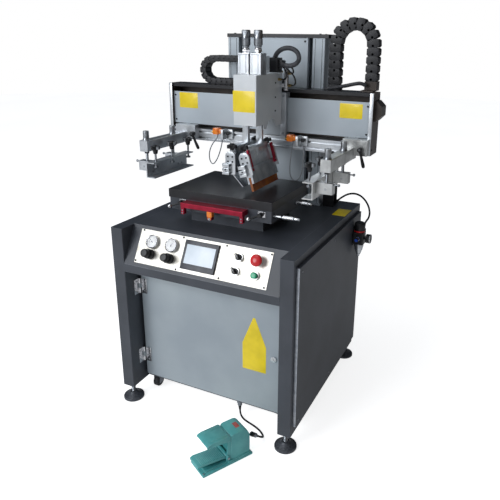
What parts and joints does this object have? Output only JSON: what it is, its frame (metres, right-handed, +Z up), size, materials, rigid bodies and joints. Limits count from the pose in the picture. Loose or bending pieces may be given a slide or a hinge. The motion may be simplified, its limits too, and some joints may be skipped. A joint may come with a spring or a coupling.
{
  "type": "flat-bed screen printing machine",
  "caption": "Semi-automatic flat-bed screen printer: floor cabinet with sloped console, fixed table, rising print beam with squeegee carriage and screen arms.",
  "frame": {"origin": "bottom centre of the machine's box with its foot pedal, its cords left out, on the floor", "axes": "+Z up; -Y towards the operator and console; +X to the operator's right"},
  "size_m": [0.908, 0.956, 1.46],
  "materials": {
    "slate_paint": "satin powder coat",
    "stainless": "brushed",
    "black_plastic": "moulded",
    "red_button": "moulded",
    "green_button": "moulded",
    "door_paint": "satin powder coat",
    "nickel": "bright nickel",
    "dark_foot": "moulded",
    "steel": "ground",
    "black_plate": "black anodised",
    "crimson": "crimson anodised",
    "silver_paint": "satin silver-grey paint",
    "brown_plate": "dark brown anodised",
    "aluminium": "machined and clear anodised",
    "blade": "polyurethane",
    "pedal": "teal paint on cast housing",
    "cable": "cable sheath"
  },
  "bodies": {
    "cabinet": {"cabinet_frame": "slate_paint", "cabinet_top": "slate_paint", "control_plate": "stainless", "console_regulators": "black_plastic", "touch_panel": "black_plastic", "cabinet_panels": "slate_paint", "hinge_leaves": "nickel", "levelling_feet": "dark_foot", "caster_forks": "steel", "table_base": "slate_paint", "tower_body": "silver_paint", "tower_cap": "black_plate", "lift_guides": "steel", "lift_cylinder": "steel", "vertical_drag_chain": "black_plastic", "air_unit": "black_plastic", "pedal_base": "pedal", "pedal_cable": "cable", "air_hose": "cable", "cable_glands": "black_plastic"},
    "door": {"door": "door_paint"},
    "lock": {"door_lock": "nickel"},
    "front_wheels": {"front_caster_wheels": "black_plastic"},
    "rear_wheels": {"rear_caster_wheels": "black_plastic"},
    "regulator_left": {"regulator_knob_left": "black_plastic"},
    "regulator_right": {"regulator_knob_right": "black_plastic"},
    "selector_upper": {"selector_knob_upper": "black_plastic"},
    "selector_lower": {"selector_knob_lower": "black_plastic"},
    "estop": {"estop_button": "red_button"},
    "start": {"start_button": "green_button"},
    "table_slide": {"table_slide_plate": "slate_paint", "table_front_bar": "crimson"},
    "table_plate": {"table_top": "black_plate"},
    "handle_left": {"table_handle_left": "nickel"},
    "handle_right": {"table_handle_right": "nickel"},
    "adjuster": {"table_adjuster": "nickel"},
    "beam": {"beam_frame": "brown_plate", "belt_end_cover": "brown_plate", "beam_top_plate": "black_plate", "beam_front_cover": "silver_paint", "screen_rail": "aluminium", "carriage_drag_chain": "black_plastic"},
    "carriage": {"carriage_saddle": "aluminium", "carriage_box": "aluminium", "stroke_cylinders": "aluminium"},
    "stroke_left": {"stroke_knob_left": "steel"},
    "stroke_right": {"stroke_knob_right": "steel"},
    "squeegee": {"squeegee_hanger": "aluminium", "squeegee_holder": "aluminium", "squeegee_blade": "blade"},
    "flood": {"flood_hanger": "aluminium", "flood_bar": "steel"},
    "left_screen_arm": {"left_arm": "aluminium"},
    "right_screen_arm": {"right_arm": "aluminium"},
    "left_lever": {"left_arm_lever": "black_plastic"},
    "right_lever": {"right_arm_lever": "black_plastic"},
    "left_screws": {"left_clamp_screws": "black_plastic"},
    "right_screws": {"right_clamp_screws": "black_plastic"},
    "air_knob": {"air_unit_knob": "black_plastic"},
    "treadle": {"pedal_treadle": "pedal"}
  },
  "joints": [
    {"name": "door_swing", "type": "hinge", "parent": "cabinet", "child": "door", "pos_m": [-0.318, -0.17803, 0.3], "axis": [0, 0, -1], "range_deg": [0, 11]},
    {"name": "lock_turn", "type": "hinge", "parent": "door", "child": "lock", "pos_m": [0.247, -0.17303, 0.306], "axis": [0, -1, 0], "range_deg": [0, 90]},
    {"name": "front_wheels_roll", "type": "hinge", "parent": "cabinet", "child": "front_wheels", "pos_m": [-0.013, -0.12404, 0.03], "axis": [1, 0, 0], "continuous": true},
    {"name": "rear_wheels_roll", "type": "hinge", "parent": "cabinet", "child": "rear_wheels", "pos_m": [-0.013, 0.33797, 0.03], "axis": [1, 0, 0], "continuous": true},
    {"name": "regulator_left_turn", "type": "hinge", "parent": "cabinet", "child": "regulator_left", "pos_m": [-0.219, -0.22466, 0.63567], "axis": [0, -0.8822, 0.4709], "range_deg": [-270, 270]},
    {"name": "regulator_right_turn", "type": "hinge", "parent": "cabinet", "child": "regulator_right", "pos_m": [-0.136, -0.2256, 0.6339], "axis": [0, -0.8822, 0.4709], "range_deg": [-270, 270]},
    {"name": "selector_upper_turn", "type": "hinge", "parent": "cabinet", "child": "selector_upper", "pos_m": [0.13, -0.20158, 0.67889], "axis": [0, -0.8822, 0.4709], "range_deg": [0, 90]},
    {"name": "selector_lower_turn", "type": "hinge", "parent": "cabinet", "child": "selector_lower", "pos_m": [0.127, -0.22419, 0.63655], "axis": [0, -0.8822, 0.4709], "range_deg": [0, 90]},
    {"name": "estop_press", "type": "slide", "parent": "cabinet", "child": "estop", "axis": [0, 0.8822, -0.4709], "range_m": [0, 0.004], "stiffness_N_per_m": 900, "springref_m": -0.002},
    {"name": "start_press", "type": "slide", "parent": "cabinet", "child": "start", "axis": [0, 0.8822, -0.4709], "range_m": [0, 0.004], "stiffness_N_per_m": 600, "springref_m": -0.002},
    {"name": "table_x", "type": "slide", "parent": "cabinet", "child": "table_slide", "axis": [1, 0, 0], "range_m": [-0.005, 0.005]},
    {"name": "table_y", "type": "slide", "parent": "table_slide", "child": "table_plate", "axis": [0, 1, 0], "range_m": [-0.005, 0.005]},
    {"name": "handle_left_turn", "type": "hinge", "parent": "table_slide", "child": "handle_left", "pos_m": [-0.164, -0.11603, 0.806], "axis": [0, 1, 0], "range_deg": [-60, 60]},
    {"name": "handle_right_turn", "type": "hinge", "parent": "table_slide", "child": "handle_right", "pos_m": [0.157, -0.11603, 0.804], "axis": [0, 1, 0], "range_deg": [-60, 60]},
    {"name": "adjuster_turn", "type": "hinge", "parent": "table_slide", "child": "adjuster", "pos_m": [0.194, -0.07104, 0.797], "axis": [1, 0, 0], "range_deg": [-1800, 1800]},
    {"name": "beam_lift", "type": "slide", "parent": "cabinet", "child": "beam", "axis": [0, 0, 1], "range_m": [0, 0.15], "deforming": ["vertical_drag_chain"]},
    {"name": "carriage_stroke", "type": "slide", "parent": "beam", "child": "carriage", "axis": [1, 0, 0], "range_m": [-0.22, 0.13], "deforming": ["carriage_drag_chain"]},
    {"name": "stroke_left_turn", "type": "hinge", "parent": "carriage", "child": "stroke_left", "pos_m": [-0.004, 0.09996, 1.405], "axis": [0, 0, 1], "continuous": true},
    {"name": "stroke_right_turn", "type": "hinge", "parent": "carriage", "child": "stroke_right", "pos_m": [0.044, 0.09996, 1.405], "axis": [0, 0, 1], "continuous": true},
    {"name": "squeegee_lift", "type": "slide", "parent": "carriage", "child": "squeegee", "axis": [0, 0, 1], "range_m": [-0.008, 0.03]},
    {"name": "flood_lift", "type": "slide", "parent": "carriage", "child": "flood", "axis": [0, 0, 1], "range_m": [-0.012, 0.03]},
    {"name": "left_arm_slide", "type": "slide", "parent": "beam", "child": "left_screen_arm", "axis": [1, 0, 0], "range_m": [0, 0.12]},
    {"name": "right_arm_slide", "type": "slide", "parent": "beam", "child": "right_screen_arm", "axis": [1, 0, 0], "range_m": [-0.12, 0]},
    {"name": "left_lever_turn", "type": "hinge", "parent": "left_screen_arm", "child": "left_lever", "pos_m": [-0.319, 0.22697, 0.998], "axis": [0, 1, 0], "range_deg": [-80, 20]},
    {"name": "left_screws_down", "type": "slide", "parent": "left_screen_arm", "child": "left_screws", "axis": [0, 0, -1], "range_m": [-0.01, 0.024]},
    {"name": "right_lever_turn", "type": "hinge", "parent": "right_screen_arm", "child": "right_lever", "pos_m": [0.4, 0.22697, 0.998], "axis": [0, 1, 0], "range_deg": [-80, 20]},
    {"name": "right_screws_down", "type": "slide", "parent": "right_screen_arm", "child": "right_screws", "axis": [0, 0, -1], "range_m": [-0.01, 0.024]},
    {"name": "air_knob_turn", "type": "hinge", "parent": "cabinet", "child": "air_knob", "pos_m": [0.383, 0.34697, 0.68], "axis": [0, 0, 1], "range_deg": [-270, 270]},
    {"name": "treadle_press", "type": "hinge", "parent": "cabinet", "child": "treadle", "pos_m": [0.14772, -0.36599, 0.026], "axis": [-0.8712, 0.4909, 0], "range_deg": [-6, 0], "stiffness_Nm_per_rad": 4, "springref_deg": 8.59}
  ],
  "couplings": [
    {"joint": "adjuster_turn", "follows": "table_x", "rad_per_m": 6283.2}
  ]
}
